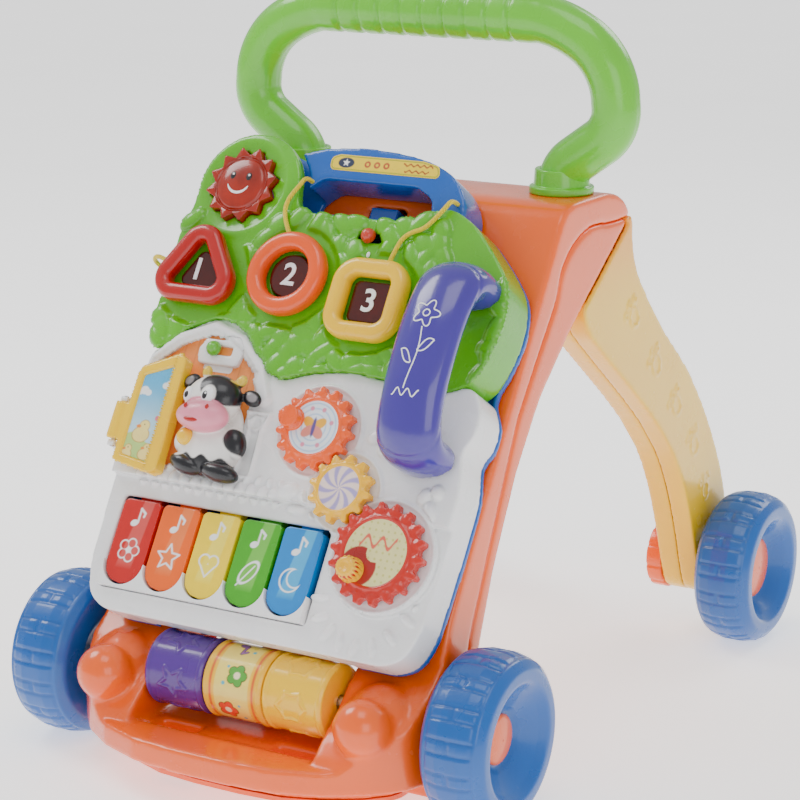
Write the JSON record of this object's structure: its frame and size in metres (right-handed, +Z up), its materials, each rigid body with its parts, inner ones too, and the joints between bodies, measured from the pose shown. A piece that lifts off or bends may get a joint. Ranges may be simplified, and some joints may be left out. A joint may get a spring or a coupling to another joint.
{
  "type": "baby walker",
  "caption": "Push-along toy walker: leaning orange body on blue wheels, yellow rear legs, green push hoop and a lift-off activity panel with gears, keys and a toy phone.",
  "frame": {"origin": "centre of the bounding box on the floor the wheels stand on", "axes": "+X to the right seen from the activity panel's side, +Y from the panel towards the child, +Z up"},
  "size_m": [0.35, 0.5284, 0.4783],
  "materials": {
    "body_orange": "glossy moulded",
    "leg_yellow": "glossy moulded, tinted orange at the top",
    "wheel_blue": "satin blow-moulded",
    "hub_orange": "glossy moulded",
    "handle_green": "glossy moulded",
    "case_blue": "glossy moulded",
    "shell_white": "glossy moulded",
    "leaf_green": "glossy moulded",
    "sun_red": "translucent moulded",
    "ring_red": "glossy moulded",
    "ring_orange": "glossy moulded",
    "ring_yellow": "glossy moulded",
    "window_dark": "dark translucent window with a white number",
    "key_red": "glossy moulded",
    "key_orange": "glossy moulded",
    "key_yellow": "glossy moulded",
    "key_green": "glossy moulded",
    "key_blue": "glossy moulded",
    "gear_orange": "glossy moulded",
    "gear_yellow": "glossy moulded",
    "gear_red": "glossy moulded",
    "handset_purple": "glossy moulded",
    "door_yellow": "glossy moulded with a printed picture",
    "barn_peach": "printed backdrop",
    "calf_white": "painted figure",
    "knob_green": "glossy moulded",
    "knob_red": "glossy moulded",
    "drum_purple": "glossy moulded",
    "drum_picture": "glossy moulded with a printed band",
    "drum_yellow": "glossy moulded",
    "steel": "zinc plated",
    "board": "printed circuit board",
    "speaker_black": "paper cone in a frame",
    "cord_yellow": "soft woven cord"
  },
  "bodies": {
    "frame": {"body_front_shell": "body_orange", "body_rear_shell": "body_orange", "base_cover": "body_orange", "body_screws": "steel", "axle_pins": "steel", "leg_left_inner": "leg_yellow", "leg_left_outer": "leg_yellow", "leg_right_inner": "leg_yellow", "leg_right_outer": "leg_yellow", "push_handle_front": "handle_green", "push_handle_rear": "handle_green", "roller_pin": "steel"},
    "panel": {"panel_back_case": "case_blue", "battery_door": "case_blue", "panel_screws": "steel", "panel_white_shell": "shell_white", "barn_wall": "barn_peach", "panel_green_shell": "leaf_green", "sun_lens": "sun_red", "key_rod": "steel", "door_pin": "steel", "calf_figure": "calf_white", "circuit_board": "board", "speaker": "speaker_black", "cord_circle": "cord_yellow", "cord_square": "cord_yellow", "cord_triangle": "cord_yellow"},
    "handset": {"handset_front": "handset_purple", "handset_back": "handset_purple"},
    "release_tab": {"panel_release_tab": "case_blue"},
    "power_switch": {"power_knob": "knob_red"},
    "mode_switch": {"mode_knob": "knob_green"},
    "door": {"barn_door": "door_yellow"},
    "wheel_front_left": {"wheel_front_left": "wheel_blue", "hub_cap_front_left": "hub_orange"},
    "wheel_front_right": {"wheel_front_right": "wheel_blue", "hub_cap_front_right": "hub_orange"},
    "wheel_rear_left": {"wheel_rear_left": "wheel_blue", "hub_cap_rear_left": "hub_orange"},
    "wheel_rear_right": {"wheel_rear_right": "wheel_blue", "hub_cap_rear_right": "hub_orange"},
    "drum_purple": {"roller_purple": "drum_purple"},
    "drum_picture": {"roller_picture": "drum_picture"},
    "drum_yellow": {"roller_yellow": "drum_yellow"},
    "speed_left": {"speed_knob_left": "body_orange"},
    "speed_right": {"speed_knob_right": "body_orange"},
    "triangle_piece": {"shape_triangle": "ring_red"},
    "circle_piece": {"shape_circle": "ring_orange"},
    "square_piece": {"shape_square": "ring_yellow"},
    "button_1": {"number_button_1": "window_dark"},
    "button_2": {"number_button_2": "window_dark"},
    "button_3": {"number_button_3": "window_dark"},
    "red_key": {"key_red": "key_red"},
    "orange_key": {"key_orange": "key_orange"},
    "yellow_key": {"key_yellow": "key_yellow"},
    "green_key": {"key_green": "key_green"},
    "blue_key": {"key_blue": "key_blue"},
    "red_gear": {"gear_red": "gear_red"},
    "yellow_gear": {"gear_yellow": "gear_yellow"},
    "orange_gear": {"gear_orange": "gear_orange"}
  },
  "joints": [
    {"name": "front_left_wheel_spin", "type": "hinge", "parent": "frame", "child": "wheel_front_left", "pos_m": [-0.153, -0.1782, 0.0534], "axis": [1, 0, 0], "continuous": true},
    {"name": "front_right_wheel_spin", "type": "hinge", "parent": "frame", "child": "wheel_front_right", "pos_m": [0.153, -0.1782, 0.0534], "axis": [1, 0, 0], "continuous": true},
    {"name": "rear_left_wheel_spin", "type": "hinge", "parent": "frame", "child": "wheel_rear_left", "pos_m": [-0.153, 0.2098, 0.0544], "axis": [1, 0, 0], "continuous": true},
    {"name": "rear_right_wheel_spin", "type": "hinge", "parent": "frame", "child": "wheel_rear_right", "pos_m": [0.153, 0.2098, 0.0544], "axis": [1, 0, 0], "continuous": true},
    {"name": "purple_drum_spin", "type": "hinge", "parent": "frame", "child": "drum_purple", "pos_m": [-0.0438, -0.2042, 0.067], "axis": [1, 0, 0], "continuous": true},
    {"name": "picture_drum_spin", "type": "hinge", "parent": "frame", "child": "drum_picture", "pos_m": [0, -0.2042, 0.067], "axis": [1, 0, 0], "continuous": true},
    {"name": "yellow_drum_spin", "type": "hinge", "parent": "frame", "child": "drum_yellow", "pos_m": [0.0438, -0.2042, 0.067], "axis": [1, 0, 0], "continuous": true},
    {"name": "left_speed_turn", "type": "hinge", "parent": "frame", "child": "speed_left", "pos_m": [-0.09, 0.2098, 0.0544], "axis": [1, 0, 0], "range_deg": [0, 30]},
    {"name": "right_speed_turn", "type": "hinge", "parent": "frame", "child": "speed_right", "pos_m": [0.09, 0.2098, 0.0544], "axis": [1, 0, 0], "range_deg": [0, 30]},
    {"name": "release_tab_slide", "type": "slide", "parent": "frame", "child": "release_tab", "axis": [0, -0.5255, -0.8508], "range_m": [0, 0.005], "stiffness_N_per_m": 300, "springref_m": -0.003},
    {"name": "panel_lift", "type": "slide", "parent": "frame", "child": "panel", "axis": [0, -0.8508, 0.5255], "range_m": [0, 0.08]},
    {"name": "handset_lift", "type": "slide", "parent": "panel", "child": "handset", "axis": [0, -0.8508, 0.5255], "range_m": [0, 0.06]},
    {"name": "triangle_pull", "type": "slide", "parent": "panel", "child": "triangle_piece", "axis": [0, -0.8508, 0.5255], "range_m": [0, 0.01]},
    {"name": "circle_pull", "type": "slide", "parent": "panel", "child": "circle_piece", "axis": [0, -0.8508, 0.5255], "range_m": [0, 0.01]},
    {"name": "square_pull", "type": "slide", "parent": "panel", "child": "square_piece", "axis": [0, -0.8508, 0.5255], "range_m": [0, 0.01]},
    {"name": "button_1_press", "type": "slide", "parent": "panel", "child": "button_1", "axis": [0, 0.8508, -0.5255], "range_m": [0, 0.0025], "stiffness_N_per_m": 300, "springref_m": -0.003},
    {"name": "button_2_press", "type": "slide", "parent": "panel", "child": "button_2", "axis": [0, 0.8508, -0.5255], "range_m": [0, 0.0025], "stiffness_N_per_m": 300, "springref_m": -0.003},
    {"name": "button_3_press", "type": "slide", "parent": "panel", "child": "button_3", "axis": [0, 0.8508, -0.5255], "range_m": [0, 0.0025], "stiffness_N_per_m": 300, "springref_m": -0.003},
    {"name": "red_key_press", "type": "hinge", "parent": "panel", "child": "red_key", "pos_m": [-0.0935, -0.17137, 0.16432], "axis": [1, 0, 0], "range_deg": [0, 3], "stiffness_Nm_per_rad": 0.8, "springref_deg": -2.86},
    {"name": "orange_key_press", "type": "hinge", "parent": "panel", "child": "orange_key", "pos_m": [-0.0631, -0.17137, 0.16432], "axis": [1, 0, 0], "range_deg": [0, 3], "stiffness_Nm_per_rad": 0.8, "springref_deg": -2.86},
    {"name": "yellow_key_press", "type": "hinge", "parent": "panel", "child": "yellow_key", "pos_m": [-0.0327, -0.17137, 0.16432], "axis": [1, 0, 0], "range_deg": [0, 3], "stiffness_Nm_per_rad": 0.8, "springref_deg": -2.86},
    {"name": "green_key_press", "type": "hinge", "parent": "panel", "child": "green_key", "pos_m": [-0.0023, -0.17137, 0.16432], "axis": [1, 0, 0], "range_deg": [0, 3], "stiffness_Nm_per_rad": 0.8, "springref_deg": -2.86},
    {"name": "blue_key_press", "type": "hinge", "parent": "panel", "child": "blue_key", "pos_m": [0.0281, -0.17137, 0.16432], "axis": [1, 0, 0], "range_deg": [0, 3], "stiffness_Nm_per_rad": 0.8, "springref_deg": -2.86},
    {"name": "red_gear_spin", "type": "hinge", "parent": "panel", "child": "red_gear", "pos_m": [0.087, -0.19632, 0.16199], "axis": [0, -0.8508, 0.5255], "continuous": true},
    {"name": "yellow_gear_spin", "type": "hinge", "parent": "panel", "child": "yellow_gear", "pos_m": [0.0499, -0.17777, 0.19202], "axis": [0, -0.8508, 0.5255], "continuous": true},
    {"name": "orange_gear_spin", "type": "hinge", "parent": "panel", "child": "orange_gear", "pos_m": [0.0202, -0.15938, 0.2218], "axis": [0, -0.8508, 0.5255], "continuous": true},
    {"name": "power_slide", "type": "slide", "parent": "panel", "child": "power_switch", "axis": [1, 0, 0], "range_m": [-0.006, 0.006]},
    {"name": "mode_slide", "type": "slide", "parent": "panel", "child": "mode_switch", "axis": [1, 0, 0], "range_m": [0, 0.008]},
    {"name": "door_swing", "type": "hinge", "parent": "panel", "child": "door", "pos_m": [-0.123, -0.16949, 0.21018], "axis": [0, -0.5255, -0.8508], "range_deg": [0, 100]}
  ],
  "couplings": [
    {"joint": "yellow_gear_spin", "follows": "red_gear_spin", "ratio": -1.5},
    {"joint": "orange_gear_spin", "follows": "red_gear_spin", "ratio": 1.2}
  ]
}
